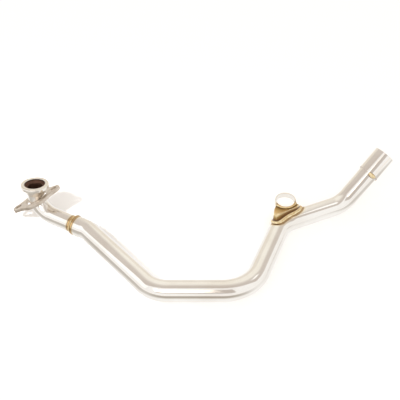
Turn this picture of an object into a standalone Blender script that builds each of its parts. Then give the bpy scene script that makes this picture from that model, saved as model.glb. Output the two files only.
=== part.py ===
# Motorcycle decat pipe: one bent stainless tube with its exhaust-port collar,
# loose two-bolt flange plate, smaller header tube, mounting bush on a formed
# saddle gusset, and a slip-on tail sleeve. Metres, +Z up, lying as it rests.

import math

import bmesh
import bpy
from mathutils import Matrix, Vector

# Tubes
PIPE_OD = 0.0318
PIPE_WALL = 0.0020
HEADER_WALL = 0.0015
SEAM_GAP = 0.0003            # clearance between pieces that touch
HEADER_INSERT = 0.010        # length of the header that slides into the main pipe

# Route of the tube's centre line: leg lengths between bend corners, headings in plan
HEADER_RUN = 0.0777          # header corner to the step where the main pipe starts
PIPE_LEAD = 0.0247           # step to the first bend corner of the main pipe
DOWN_RUN = 0.1716
CROSS_RUN = 0.1365
RISER_RUN = 0.1560
REAR_RUN = 0.1160
TAIL_RUN = 0.1072
HEADER_HEADING = -30.0
DOWN_HEADING = -49.3
CROSS_HEADING = 0.0
RISER_HEADING = 68.0
REAR_HEADING = 25.6
TAIL_HEADING = 31.4
TAIL_CLIMB = 41.6

# Centre-line radii of the bends
HEADER_BEND = 0.0328
DOWN_BEND = 0.043
CROSS_BEND = 0.045
RISER_BEND = 0.060
REAR_BEND = 0.055
TAIL_BEND = 0.045

# Mouth: the turned collar that the exhaust port presses on
MOUTH_HEIGHT = 0.0486        # header corner to the collar's face
MOUTH_LEAN_BACK = 2.3
MOUTH_LEAN_SIDE = 7.1
LIP_OD = 0.0440
LIP_THICKNESS = 0.0062
LIP_ROUND = 0.0014
MOUTH_BORE = 0.0310
SPIGOT_OD = 0.0376
COLLAR_LENGTH = 0.0165
COLLAR_SEAT = 0.0090         # depth from the face to the header tube's end
COLLAR_WALL = 0.0016
COLLAR_WELD_RISE = 0.0022

# Loose flange plate that hangs round the header bend
PLATE_BOLT_SPACING = 0.0640
PLATE_THICKNESS = 0.0055
PLATE_BORE = 0.0396
PLATE_RIM = 0.0050           # metal between the bore and the waist
PLATE_EAR_RADIUS = 0.0102
PLATE_WAIST_RADIUS = 0.030   # hollow between an ear and the middle
PLATE_BOLT_HOLE = 0.0100
PLATE_CHAMFER = 0.0007
PLATE_BEND_ANGLE = 19.8      # how far round the header bend it has slid
PLATE_NOD = 5.3
PLATE_ROLL = 11.2
PLATE_SPIN = 39.3
PLATE_SIDE_SLIP = 0.0017

# Mounting bush and its saddle gusset on the outside of the rear bend
BUSH_OD = 0.0344
BUSH_WALL = 0.0021
BUSH_LENGTH = 0.0100
BUSH_REACH = 0.0515          # bend corner to the bush centre, in plan
BUSH_BEARING = 77.3
BUSH_RISE = 0.0050
BUSH_TILT = 7.5
BUSH_CHAMFER = 0.0004
GUSSET_SHEET = 0.0015
GUSSET_FOOT_LENGTH = 0.0610
GUSSET_FOOT_SHIFT = 0.0080   # foot centre past the middle of the rear bend
GUSSET_FOOT_TOP = -9.0       # angles round the pipe, from its top to the outer side
GUSSET_FOOT_LOW = 138.0
GUSSET_FIT = 0.0007          # sheet's clearance over the pipe's skin
GUSSET_REAR_SLANT = 0.038    # how far the foot's ends move forward towards its low side
GUSSET_FORE_SLANT = 0.015
GUSSET_FOOT_FLARE = 0.0135
GUSSET_END_FLARE = 0.0040
GUSSET_NECK_WRAP = 62.0      # half angle that the neck covers on the bush
GUSSET_NECK_HEIGHT = 0.0046
GUSSET_NECK_RUN = 0.0080
GUSSET_SQUARENESS = 2.8

# Tail sleeve, slipped over the pipe's end and tacked
SLEEVE_LENGTH = 0.0400
SLEEVE_WALL = 0.0012
SLEEVE_OVERLAP = 0.0140
TACK_COUNT = 3
TACK_SPAN = 58.0
TACK_FIRST = 20.0

# Weld beads
BEAD_TOE = 0.0034            # spread on the lower surface
BEAD_OVER = 0.0016           # lap over the upper surface
BEAD_CROWN = 0.0011
STEP_CROWN = 0.0006          # kept low so that the pipe still lies flat
NECK_BEAD = 0.0018
NECK_BEAD_SHARE = 0.93       # where along the sheet the bead's slope is taken
SADDLE_BEAD_SHARE = 0.05     # how far up the sheet the saddle bead laps

# Facets
SIDES = 28
BEND_STEP = 9.0
LIP_STEPS = 4
GUSSET_SIDES = 48
GUSSET_ROWS = 9
CROWN_STEPS = 3
SMOOTH_ANGLE = 35.0

PIPE_R = PIPE_OD / 2
HEADER_R = PIPE_R - PIPE_WALL - SEAM_GAP
SLEEVE_IN_R = PIPE_R + SEAM_GAP
SLEEVE_R = SLEEVE_IN_R + SLEEVE_WALL
BUSH_R = BUSH_OD / 2
UP = Vector((0, 0, 1))


# Materials
def make_material(name, colour, roughness, metallic=1.0):
    material = bpy.data.materials.new(name)
    material.use_nodes = True
    shader = material.node_tree.nodes["Principled BSDF"]
    shader.inputs["Base Color"].default_value = (*colour, 1.0)
    shader.inputs["Roughness"].default_value = roughness
    shader.inputs["Metallic"].default_value = metallic
    material.diffuse_color = (*colour, 1.0)
    return material


# Meshes: every piece is a skin over rings of points
def make_object(name, mesh_tool, material, origin, axis):
    """Object whose own origin and Z axis are the given point and direction."""
    seat = Matrix.Translation(origin) @ axis.to_track_quat("Z", "Y").to_matrix().to_4x4()
    bmesh.ops.recalc_face_normals(mesh_tool, faces=mesh_tool.faces)
    mesh = bpy.data.meshes.new(name)
    mesh_tool.to_mesh(mesh)
    mesh_tool.free()
    mesh.transform(seat.inverted())
    mesh.materials.append(material)
    mesh.shade_smooth()
    mesh.set_sharp_from_angle(angle=math.radians(SMOOTH_ANGLE))
    piece = bpy.data.objects.new(name, mesh)
    piece.location = seat.to_translation()
    piece.rotation_euler = seat.to_euler()
    bpy.context.scene.collection.objects.link(piece)
    return piece


def skin_rings(rings, closed=True):
    """Quads between neighbouring rings; closed joins the last ring to the first."""
    tool = bmesh.new()
    verts = [[tool.verts.new(point) for point in ring] for ring in rings]
    count = len(verts[0])
    last = len(verts) if closed else len(verts) - 1
    for i in range(last):
        here = verts[i]
        there = verts[(i + 1) % len(verts)]
        for j in range(count):
            k = (j + 1) % count
            tool.faces.new((here[j], here[k], there[k], there[j]))
    if not closed:
        tool.faces.new(verts[0])
        tool.faces.new(verts[-1])
    return tool


def circle_ring(centre, across, aside, radius):
    ring = []
    for i in range(SIDES):
        angle = 2 * math.pi * i / SIDES
        ring.append(centre + radius * (across * math.cos(angle) + aside * math.sin(angle)))
    return ring


def turned_piece(name, centre, axis, profile, material):
    """Lathe a closed (radius, height) outline round an axis."""
    axis = axis.normalized()
    across = axis.orthogonal().normalized()
    aside = axis.cross(across)
    rings = [circle_ring(centre + axis * height, across, aside, radius) for radius, height in profile]
    return make_object(name, skin_rings(rings), material, centre, axis)


def quarter(centre_x, centre_y, size_x, size_y, start, steps):
    """Points of a quarter ellipse from a start angle in degrees, turning left."""
    points = []
    for i in range(steps + 1):
        angle = math.radians(start + 90.0 * i / steps)
        points.append((centre_x + size_x * math.cos(angle), centre_y + size_y * math.sin(angle)))
    return points


# Route of the centre line
def heading(plan_angle, climb=0.0):
    plan = math.radians(plan_angle)
    rise = math.radians(climb)
    return Vector((math.cos(rise) * math.cos(plan), math.cos(rise) * math.sin(plan), math.sin(rise)))


def make_route(corners, radii):
    """Straight and round runs through the corners, each with its start and length."""
    runs = []
    start = corners[0]
    for before, corner, after, radius in zip(corners, corners[1:], corners[2:], radii):
        inward = (corner - before).normalized()
        outward = (after - corner).normalized()
        turn = inward.angle(outward)
        cut = radius * math.tan(turn / 2)
        entry = corner - inward * cut
        runs.append({"start": start, "along": inward, "length": (entry - start).length, "radius": 0.0})
        side = (outward - inward * outward.dot(inward)).normalized()
        runs.append({"start": entry, "along": inward, "side": side, "length": radius * turn, "radius": radius})
        start = corner + outward * cut
    finish = corners[-1]
    outward = (finish - start).normalized()
    runs.append({"start": start, "along": outward, "length": (finish - start).length, "radius": 0.0})
    return runs


def route_length(route):
    return sum(run["length"] for run in route)


def place_on(route, distance):
    """Centre point and travel direction at a distance along the route."""
    for run in route:
        if distance <= run["length"] + 1e-9 or run is route[-1]:
            break
        distance -= run["length"]
    if run["radius"] == 0.0:
        return run["start"] + run["along"] * distance, run["along"].copy()
    turn = distance / run["radius"]
    reach = run["along"] * math.sin(turn) + run["side"] * (1 - math.cos(turn))
    direction = run["along"] * math.cos(turn) + run["side"] * math.sin(turn)
    return run["start"] + reach * run["radius"], direction


def stops_along(route, first, last):
    """Distances where a ring is needed: run ends, and steps round each bend."""
    stops = [first]
    begin = 0.0
    for run in route:
        steps = 1
        if run["radius"]:
            steps = max(1, math.ceil(math.degrees(run["length"] / run["radius"]) / BEND_STEP))
        for i in range(1, steps + 1):
            stops.append(begin + run["length"] * i / steps)
        begin += run["length"]
    inside = [stop for stop in stops if first + 1e-4 < stop < last - 1e-4]
    return [first] + inside + [last]


def tube_frames(route, stops):
    """Ring frames that follow the route without twisting."""
    frames = []
    across = None
    for stop in stops:
        point, direction = place_on(route, stop)
        if across is None:
            across = direction.orthogonal()
        across = (across - direction * across.dot(direction)).normalized()
        frames.append((point, across, direction.cross(across)))
    return frames


def make_tube(name, route, first, last, outer, inner, material):
    frames = tube_frames(route, stops_along(route, first, last))
    rings = [circle_ring(point, across, aside, outer) for point, across, aside in frames]
    rings += [circle_ring(point, across, aside, inner) for point, across, aside in reversed(frames)]
    start, travel = place_on(route, first)
    return make_object(name, skin_rings(rings), material, start, travel)


# Section of a weld bead that laps a step: x runs onto the upper surface, y away from the metal
def bead_section(low, high, toe=BEAD_TOE, over=BEAD_OVER, crown=BEAD_CROWN):
    foot = low + SEAM_GAP
    shelf = high + SEAM_GAP
    peak = high + crown
    points = [(-toe, foot), (-SEAM_GAP, foot), (-SEAM_GAP, shelf), (over, shelf)]
    points += quarter(0.0, shelf, over, peak - shelf, 0.0, CROWN_STEPS)[1:]
    points += quarter(0.0, foot, toe, peak - foot, 90.0, CROWN_STEPS)[1:-1]
    return points


# Mouth collar and the seam inside it
def collar_profile():
    lip_r = LIP_OD / 2
    bore_r = MOUTH_BORE / 2
    socket_r = HEADER_R + SEAM_GAP
    rim = LIP_ROUND
    profile = [(bore_r, -COLLAR_SEAT), (bore_r, -rim / 2), (bore_r + rim / 2, 0.0)]
    profile += [(lip_r - inset, -drop) for inset, drop in rounded_corner(rim)]
    profile += [(lip_r, -LIP_THICKNESS + rim / 2), (lip_r - rim / 2, -LIP_THICKNESS)]
    profile += [(SPIGOT_OD / 2 + rim / 2, -LIP_THICKNESS), (SPIGOT_OD / 2, -LIP_THICKNESS - rim / 2)]
    profile += [(socket_r + COLLAR_WALL, -COLLAR_LENGTH), (socket_r, -COLLAR_LENGTH), (socket_r, -COLLAR_SEAT)]
    return profile


def rounded_corner(radius):
    """Offsets (in from the side, down from the face) round an outer edge."""
    points = []
    for i in range(LIP_STEPS + 1):
        angle = math.radians(90.0 * i / LIP_STEPS)
        points.append((radius * (1 - math.sin(angle)), radius * (1 - math.cos(angle))))
    return points


def make_collar(face, axis, material):
    return turned_piece("mouth_collar", face, axis, collar_profile(), material)


def make_collar_weld(face, axis, material):
    wall = MOUTH_BORE / 2 - SEAM_GAP
    seat = -COLLAR_SEAT + SEAM_GAP
    inner = HEADER_R - HEADER_WALL + SEAM_GAP
    profile = [(wall, seat), (wall, seat + COLLAR_WELD_RISE)]
    profile += quarter(wall, seat, wall - inner, COLLAR_WELD_RISE, 90.0, CROWN_STEPS)[1:]
    return turned_piece("collar_weld", face, axis, profile, material)


# Flange plate
def arc_points(centre, radius, start, finish, steps):
    points = []
    for i in range(steps + 1):
        angle = start + (finish - start) * i / steps
        points.append((centre[0] + radius * math.cos(angle), centre[1] + radius * math.sin(angle)))
    return points


def plate_outline():
    """Ear, waist and middle arcs of one quarter, mirrored to the whole outline."""
    half = PLATE_BOLT_SPACING / 2
    middle = PLATE_BORE / 2 + PLATE_RIM
    ear = PLATE_EAR_RADIUS
    waist = PLATE_WAIST_RADIUS
    far = (half ** 2 + (middle + waist) ** 2 - (ear + waist) ** 2) / (2 * half)
    high = math.sqrt((middle + waist) ** 2 - far ** 2)
    lean = math.atan2(high, far)
    ear_lean = math.atan2(high, far - half)
    quarter_line = arc_points((half, 0.0), ear, 0.0, ear_lean, 8)
    quarter_line += arc_points((far, high), waist, ear_lean + math.pi, lean + math.pi, 5)[1:-1]
    quarter_line += arc_points((0.0, 0.0), middle, lean, math.pi / 2, 5)
    upper = quarter_line + [(-x, y) for x, y in reversed(quarter_line[:-1])]
    return upper + [(x, -y) for x, y in reversed(upper[1:-1])]


def plate_frame(corner_route):
    """Where the plate hangs: its centre, face direction and ear direction."""
    bend = corner_route[1]
    turn = math.radians(PLATE_BEND_ANGLE)
    point, travel = place_on(corner_route, corner_route[0]["length"] + turn * bend["radius"])
    outward = -travel
    centre_side = bend["side"] * math.cos(turn) - bend["along"] * math.sin(turn)
    across = outward.cross(centre_side)
    nod = math.tan(math.radians(PLATE_NOD))
    roll = math.tan(math.radians(PLATE_ROLL))
    face = (outward - centre_side * nod - across * roll).normalized()
    tilt = face.angle(outward)
    bore_reach = PLATE_BORE / 2 * math.cos(tilt) - PLATE_THICKNESS / 2 * math.sin(tilt)
    hang = math.sqrt((bore_reach - HEADER_R - 2 * SEAM_GAP) ** 2 - PLATE_SIDE_SLIP ** 2)
    centre = point - centre_side * hang + across * PLATE_SIDE_SLIP
    spin = math.radians(PLATE_SPIN)
    ears = centre_side * math.cos(spin) + across * math.sin(spin)
    ears = (ears - face * ears.dot(face)).normalized()
    return centre, face, ears


def extruded_plate(outline, centre, face, ears, thickness):
    aside = face.cross(ears)
    tool = bmesh.new()
    base = centre - face * (thickness / 2)
    verts = [tool.verts.new(base + ears * x + aside * y) for x, y in outline]
    bottom = tool.faces.new(verts)
    result = bmesh.ops.extrude_face_region(tool, geom=[bottom])
    moved = [item for item in result["geom"] if isinstance(item, bmesh.types.BMVert)]
    bmesh.ops.translate(tool, verts=moved, vec=face * thickness)
    return tool


def bevel_rims(tool, face, width):
    rims = []
    for edge in tool.edges:
        direction = (edge.verts[1].co - edge.verts[0].co).normalized()
        if abs(direction.dot(face)) < 0.01:
            rims.append(edge)
    bmesh.ops.bevel(tool, geom=rims, offset=width, segments=1, affect="EDGES")


def hole_cutter(name, centre, face, radius, depth):
    ring = [(radius * math.cos(2 * math.pi * i / SIDES), radius * math.sin(2 * math.pi * i / SIDES))
            for i in range(SIDES)]
    across = face.orthogonal().normalized()
    cutter = make_object(name, extruded_plate(ring, centre, face, across, depth), None, centre, face)
    cutter.hide_render = True
    cutter.display_type = "WIRE"
    return cutter


def cut_hole(piece, cutter):
    cut = piece.modifiers.new("hole " + cutter.name, "BOOLEAN")
    cut.operation = "DIFFERENCE"
    cut.solver = "EXACT"
    cut.object = cutter


def make_plate(corner_route, material):
    centre, face, ears = plate_frame(corner_route)
    tool = extruded_plate(plate_outline(), centre, face, ears, PLATE_THICKNESS)
    bmesh.ops.recalc_face_normals(tool, faces=tool.faces)
    bevel_rims(tool, face, PLATE_CHAMFER)
    plate = make_object("flange_plate", tool, material, centre, face)
    reach = ears * (PLATE_BOLT_SPACING / 2)
    depth = PLATE_THICKNESS * 2
    cut_hole(plate, hole_cutter("cut_bore", centre, face, PLATE_BORE / 2, depth))
    cut_hole(plate, hole_cutter("cut_bolt_1", centre + reach, face, PLATE_BOLT_HOLE / 2, depth))
    cut_hole(plate, hole_cutter("cut_bolt_2", centre - reach, face, PLATE_BOLT_HOLE / 2, depth))
    return plate


# Weld ring at the step from header tube to main pipe
def make_step_weld(point, travel, material):
    section = bead_section(HEADER_R, PIPE_R, crown=STEP_CROWN)
    profile = [(radius, offset) for offset, radius in section]
    return turned_piece("step_weld", point, travel, profile, material)


# Mounting bush
def bush_frame(corner):
    """Centre, tilted axis, and the direction from the bush back to the pipe."""
    bearing = heading(BUSH_BEARING)
    centre = corner + bearing * BUSH_REACH + UP * BUSH_RISE
    tilt = math.radians(BUSH_TILT)
    axis = UP * math.cos(tilt) - bearing * math.sin(tilt)
    facing = -(bearing * math.cos(tilt) + UP * math.sin(tilt))
    return centre, axis, facing


def make_bush(centre, axis, material):
    half = BUSH_LENGTH / 2
    inner = BUSH_R - BUSH_WALL
    edge = BUSH_CHAMFER
    profile = [(inner, edge - half), (inner + edge, -half), (BUSH_R - edge, -half), (BUSH_R, edge - half)]
    profile += [(BUSH_R, half - edge), (BUSH_R - edge, half), (inner + edge, half), (inner, half - edge)]
    return turned_piece("bush_ring", centre, axis, profile, material)


# Saddle gusset: a formed sheet that leaves the pipe along its skin and narrows to the bush
def squared(value):
    return math.copysign(abs(value) ** (2 / GUSSET_SQUARENESS), value)


def pipe_skin(route, distance, angle, radius):
    """Point and normal on the pipe's skin, at an angle from its top to its outer side."""
    point, travel = place_on(route, distance)
    side = UP.cross(travel).normalized()
    normal = UP * math.cos(angle) + side * math.sin(angle)
    return point + normal * radius, normal


def foot_place(turn, middle):
    """Distance and angle of the foot's edge, for a turn round the gusset."""
    drop = (1 - squared(math.sin(turn))) / 2
    angle = GUSSET_FOOT_TOP + (GUSSET_FOOT_LOW - GUSSET_FOOT_TOP) * drop
    rear = middle - GUSSET_FOOT_LENGTH / 2 + GUSSET_REAR_SLANT * drop
    fore = middle + GUSSET_FOOT_LENGTH / 2 + GUSSET_FORE_SLANT * drop
    ahead = (1 + squared(math.cos(turn))) / 2
    return rear + (fore - rear) * ahead, math.radians(angle)


def even_turns():
    """Turns that space the foot's edge points evenly round its outline."""
    samples = GUSSET_SIDES * 20
    turns = [2 * math.pi * i / samples for i in range(samples + 1)]
    spots = [foot_place(turn, 0.0) for turn in turns]
    run = [0.0]
    for before, after in zip(spots, spots[1:]):
        run.append(run[-1] + math.hypot(after[0] - before[0], (after[1] - before[1]) * PIPE_R))
    even = []
    index = 0
    for i in range(GUSSET_SIDES):
        target = run[-1] * (i + 0.5) / GUSSET_SIDES
        while run[index + 1] < target:
            index += 1
        share = (target - run[index]) / (run[index + 1] - run[index])
        even.append(turns[index] + (turns[index + 1] - turns[index]) * share)
    return even


def foot_point(route, turn, middle, lift):
    distance, angle = foot_place(turn, middle)
    return pipe_skin(route, distance, angle, PIPE_R + lift)


def foot_edge_frame(route, turn, middle, lift):
    """Foot point, skin normal, and the direction in the skin towards the foot's middle."""
    step = 0.01
    point, normal = foot_point(route, turn, middle, lift)
    ahead, _ = foot_point(route, turn + step, middle, lift)
    behind, _ = foot_point(route, turn - step, middle, lift)
    inward = (ahead - behind).cross(normal).normalized()
    return point, normal, inward


def neck_point(turn, bush, lift):
    """Point and normal on the bush's wall where the neck meets it."""
    centre, axis, facing = bush
    aside = axis.cross(facing)
    angle = math.radians(GUSSET_NECK_WRAP) * squared(math.cos(turn))
    rise = GUSSET_NECK_HEIGHT / 2 * squared(math.sin(turn))
    normal = facing * math.cos(angle) + aside * math.sin(angle)
    return centre + normal * (BUSH_R + lift) + axis * rise, normal


def gusset_point(route, turn, middle, bush, share):
    """Inner face of the sheet, from the foot at share 0 to the neck at share 1."""
    foot, _, inward = foot_edge_frame(route, turn, middle, GUSSET_FIT)
    _, travel = place_on(route, foot_place(turn, middle)[0])
    endwise = travel * inward.dot(travel)
    neck, outward = neck_point(turn, bush, SEAM_GAP)
    first = foot + (inward - endwise) * GUSSET_FOOT_FLARE + endwise * GUSSET_END_FLARE
    second = neck + outward * GUSSET_NECK_RUN
    rest = 1 - share
    curve = foot * rest ** 3 + first * (3 * rest ** 2 * share)
    return curve + second * (3 * rest * share ** 2) + neck * share ** 3


def sheet_normal(route, turn, middle, bush, share):
    """Outward normal of the sheet, from its own slopes."""
    step = 0.02
    low = max(share - step, 0.0)
    high = min(share + step, 1.0)
    along = gusset_point(route, turn, middle, bush, high) - gusset_point(route, turn, middle, bush, low)
    ahead = gusset_point(route, turn + step, middle, bush, share)
    behind = gusset_point(route, turn - step, middle, bush, share)
    return along.cross(ahead - behind).normalized()


def gusset_rows(route, middle, bush):
    inner = []
    outer = []
    for row in range(GUSSET_ROWS + 1):
        share = row / GUSSET_ROWS
        inner_ring = []
        outer_ring = []
        for turn in even_turns():
            point = gusset_point(route, turn, middle, bush, share)
            normal = sheet_normal(route, turn, middle, bush, share)
            inner_ring.append(point)
            outer_ring.append(point + normal * GUSSET_SHEET)
        inner.append(inner_ring)
        outer.append(outer_ring)
    return inner, outer


def saddle_seat(route, middle):
    """Middle of the foot on the pipe's skin, and the skin's direction there."""
    angle = math.radians((GUSSET_FOOT_TOP + GUSSET_FOOT_LOW) / 2)
    return pipe_skin(route, middle, angle, PIPE_R)


def make_gusset(route, middle, bush, material):
    inner, outer = gusset_rows(route, middle, bush)
    origin, facing = saddle_seat(route, middle)
    return make_object("saddle_gusset", skin_rings(outer + inner[::-1]), material, origin, facing)


def sheet_face(route, turn, middle, bush, share):
    """Point just off the sheet's outer face."""
    point = gusset_point(route, turn, middle, bush, share)
    return point + sheet_normal(route, turn, middle, bush, share) * (GUSSET_SHEET + SEAM_GAP)


def bead_curve(start, control, finish):
    points = []
    for i in range(1, CROWN_STEPS + 1):
        share = i / (CROWN_STEPS + 1)
        rest = 1 - share
        points.append(start * rest ** 2 + control * (2 * rest * share) + finish * share ** 2)
    return points


def make_saddle_weld(route, middle, bush, material):
    """Bead round the whole foot, from the pipe's skin over the sheet's edge."""
    rings = []
    for turn in even_turns():
        point, normal, inward = foot_edge_frame(route, turn, middle, SEAM_GAP)
        _, travel = place_on(route, foot_place(turn, middle)[0])
        drop = BEAD_TOE ** 2 * (1 - inward.dot(travel) ** 2) / (2 * PIPE_R)
        toe = point - inward * BEAD_TOE - normal * drop
        low = point - inward * SEAM_GAP
        edge = sheet_face(route, turn, middle, bush, 0.0) - inward * SEAM_GAP
        lap = sheet_face(route, turn, middle, bush, SADDLE_BEAD_SHARE)
        control = edge + normal * (2 * BEAD_CROWN) - inward * BEAD_OVER
        rings.append([toe, low, edge, lap] + bead_curve(lap, control, toe))
    origin, facing = saddle_seat(route, middle)
    return make_object("saddle_weld", skin_rings(rings), material, origin, facing)


def make_neck_weld(route, middle, bush, material):
    """Fillet bead in the corner between the sheet and the bush's wall."""
    step = 0.01
    rings = []
    for turn in even_turns():
        corner = sheet_face(route, turn, middle, bush, 1.0)
        higher = sheet_face(route, turn, middle, bush, NECK_BEAD_SHARE)
        climb = (higher - corner).normalized()
        _, normal = neck_point(turn, bush, 0.0)
        ahead, _ = neck_point(turn + step, bush, 0.0)
        behind, _ = neck_point(turn - step, bush, 0.0)
        away = (ahead - behind).cross(normal).normalized()
        ring = [corner]
        for x, y in quarter(0.0, 0.0, NECK_BEAD, NECK_BEAD, 0.0, CROWN_STEPS):
            ring.append(corner + away * x + climb * y)
        rings.append(ring)
    return make_object("bush_weld", skin_rings(rings), material, bush[0], bush[1])


# Tail sleeve and its tack welds
def make_sleeve(route, total, material):
    first = total - SLEEVE_LENGTH
    return make_tube("tail_sleeve", route, first, total, SLEEVE_R, SLEEVE_IN_R, material)


def make_tack(name, point, travel, top, middle_angle, material):
    """Short bead round part of the sleeve's edge, tapering at both ends."""
    side = travel.cross(top)
    steps = 10
    rings = []
    for i in range(steps + 1):
        share = i / steps
        size = 0.35 + 0.65 * math.sin(math.pi * share) ** 0.5
        angle = math.radians(middle_angle + TACK_SPAN * (share - 0.5))
        outward = top * math.cos(angle) + side * math.sin(angle)
        section = bead_section(PIPE_R, SLEEVE_R, BEAD_TOE * size, BEAD_OVER * size, BEAD_CROWN * size)
        rings.append([point + travel * x + outward * y for x, y in section])
    return make_object(name, skin_rings(rings, closed=False), material, point, travel)


def make_tacks(route, total, material):
    point, travel = place_on(route, total - SLEEVE_LENGTH)
    side = UP.cross(travel).normalized()
    top = travel.cross(side)
    for i in range(TACK_COUNT):
        angle = TACK_FIRST + 360.0 * i / TACK_COUNT
        make_tack("sleeve_tack_%d" % (i + 1), point, travel, top, angle, material)


# Corners of the whole centre line, from the mouth to the tail
def centre_corners():
    ahead = heading(HEADER_HEADING)
    left = UP.cross(ahead)
    back = math.sin(math.radians(MOUTH_LEAN_BACK))
    side = math.sin(math.radians(MOUTH_LEAN_SIDE))
    mouth_axis = left * side - ahead * back + UP * math.sqrt(1 - back ** 2 - side ** 2)
    legs = [
        -mouth_axis * MOUTH_HEIGHT,
        ahead * (HEADER_RUN + PIPE_LEAD),
        heading(DOWN_HEADING) * DOWN_RUN,
        heading(CROSS_HEADING) * CROSS_RUN,
        heading(RISER_HEADING) * RISER_RUN,
        heading(REAR_HEADING) * REAR_RUN,
        heading(TAIL_HEADING, TAIL_CLIMB) * TAIL_RUN,
    ]
    corners = [Vector((0, 0, 0))]
    for leg in legs:
        corners.append(corners[-1] + leg)
    return corners, mouth_axis


def stand_on_floor(pieces):
    """Hang every piece on one empty, so that the floor is Z = 0 under the middle."""
    base = bpy.data.objects.new("decat_pipe", None)
    bpy.context.scene.collection.objects.link(base)
    low = Vector((math.inf, math.inf, math.inf))
    high = -low
    for piece in pieces:
        piece.parent = base
        if piece.hide_render:
            continue
        for vertex in piece.data.vertices:
            spot = piece.matrix_basis @ vertex.co
            low = Vector(map(min, low, spot))
            high = Vector(map(max, high, spot))
    base.location = Vector((-(low.x + high.x) / 2, -(low.y + high.y) / 2, -low.z))


def clear_scene():
    for item in list(bpy.data.objects):
        bpy.data.objects.remove(item, do_unlink=True)


def main():
    clear_scene()
    brushed = make_material("brushed_stainless", (0.80, 0.76, 0.70), 0.28)
    turned = make_material("turned_stainless", (0.78, 0.74, 0.70), 0.32)
    plate_steel = make_material("plate_stainless", (0.60, 0.55, 0.49), 0.42)
    tinted = make_material("heat_tinted_stainless", (0.66, 0.46, 0.20), 0.30)
    bead = make_material("weld_bead", (0.72, 0.50, 0.24), 0.34)

    corners, mouth_axis = centre_corners()
    radii = [HEADER_BEND, DOWN_BEND, CROSS_BEND, RISER_BEND, REAR_BEND, TAIL_BEND]
    route = make_route(corners, radii)
    total = route_length(route)

    bends = [run for run in route if run["radius"]]
    header_bend_end = route[0]["length"] + bends[0]["length"]
    header_cut = HEADER_BEND * math.tan((-mouth_axis).angle(heading(HEADER_HEADING)) / 2)
    step = header_bend_end + HEADER_RUN - header_cut
    step_point, step_travel = place_on(route, step)

    make_collar(corners[0], mouth_axis, turned)
    make_collar_weld(corners[0], mouth_axis, bead)
    header_in = HEADER_R - HEADER_WALL
    make_tube("header_tube", route, COLLAR_SEAT, step + HEADER_INSERT, HEADER_R, header_in, brushed)
    make_plate(route, plate_steel)
    make_step_weld(step_point, step_travel, bead)
    pipe_end = total - SLEEVE_LENGTH + SLEEVE_OVERLAP
    make_tube("main_pipe", route, step, pipe_end, PIPE_R, PIPE_R - PIPE_WALL, brushed)

    rear_bend = bends[4]
    before = sum(run["length"] for run in route[:route.index(rear_bend)])
    foot_middle = before + rear_bend["length"] / 2 + GUSSET_FOOT_SHIFT
    bush = bush_frame(corners[5])
    make_bush(bush[0], bush[1], turned)
    make_gusset(route, foot_middle, bush, tinted)
    make_saddle_weld(route, foot_middle, bush, bead)
    make_neck_weld(route, foot_middle, bush, bead)

    make_sleeve(route, total, turned)
    make_tacks(route, total, bead)
    stand_on_floor(list(bpy.context.scene.objects))


main()
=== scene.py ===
from math import atan2, copysign, cos, hypot, pi, radians, sin, sqrt, tan

import bmesh
import bpy
from mathutils import Matrix, Vector
from mathutils.kdtree import KDTree


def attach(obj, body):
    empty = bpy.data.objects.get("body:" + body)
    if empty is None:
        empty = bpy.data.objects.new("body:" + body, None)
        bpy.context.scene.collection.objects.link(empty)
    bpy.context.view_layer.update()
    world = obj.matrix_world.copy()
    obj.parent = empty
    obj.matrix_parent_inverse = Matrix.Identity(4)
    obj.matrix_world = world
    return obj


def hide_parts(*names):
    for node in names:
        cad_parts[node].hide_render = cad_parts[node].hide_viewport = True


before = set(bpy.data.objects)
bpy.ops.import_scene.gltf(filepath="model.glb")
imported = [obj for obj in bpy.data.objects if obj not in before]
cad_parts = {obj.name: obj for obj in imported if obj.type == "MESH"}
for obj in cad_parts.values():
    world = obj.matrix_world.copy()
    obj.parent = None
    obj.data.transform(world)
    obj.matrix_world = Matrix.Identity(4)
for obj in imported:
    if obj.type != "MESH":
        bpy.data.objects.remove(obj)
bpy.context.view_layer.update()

upAxis = Vector((0, 0, 1))

# the line that every tube follows: straight legs between bend corners, in metres and degrees
route = {
    "mouth": (-0.2702326, 0.0691570, 0.0646743),  # centre of the collar's face
    "mouthHeight": 0.0486,
    "mouthLeanBack": 2.3,
    "mouthLeanSide": 7.1,
    "legs": [(-30.0, 0.0, 0.1024), (-49.3, 0.0, 0.1716), (0.0, 0.0, 0.1365),
             (68.0, 0.0, 0.1560), (25.6, 0.0, 0.1160), (31.4, 41.6, 0.1072)],  # heading, climb, length
    "bendRadii": [0.0328, 0.043, 0.045, 0.060, 0.055, 0.045],
    "headerRun": 0.0777,  # header corner to the step weld
}
# header tube, main pipe and the sleeve slipped on at the tail
tubes = {
    "pipeRadius": 0.01584,
    "pipeWall": 0.0020,
    "headerRadius": 0.0136,
    "headerWall": 0.0015,
    "headerInsert": 0.010,
    "collarSeat": 0.0044,
    "sleeveWall": 0.0012,
    "sleeveLength": 0.0400,
    "sleeveOverlap": 0.0140,
    "seamGap": 0.0003,
    "sides": 88,
    "stopSpacing": 0.0024,
    "fineSpacing": 0.0007,  # ring spacing where heat tints fade
    "fineStep": (0.014, 0.012),  # how far it reaches before and after the step weld
    "fineRear": (0.036, 0.066),  # the same at the gusset's foot
    "fineSleeve": (0.010, 0.008),  # and at the sleeve's edge
    "rimRound": 0.00025,
    "sootAndShadeReach": 1.1,  # an end's face is darkened this many radii from its middle: soot in the mouth, painted shade at the sleeve's step
}


def feed(tree, node, inputs):
    # an input takes a value, a socket or a node's first output
    for key, value in inputs.items():
        if isinstance(value, bpy.types.Node):
            value = value.outputs[0]
        if isinstance(value, bpy.types.NodeSocket):
            tree.links.new(value, node.inputs[key])
        else:
            node.inputs[key].default_value = value


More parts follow.
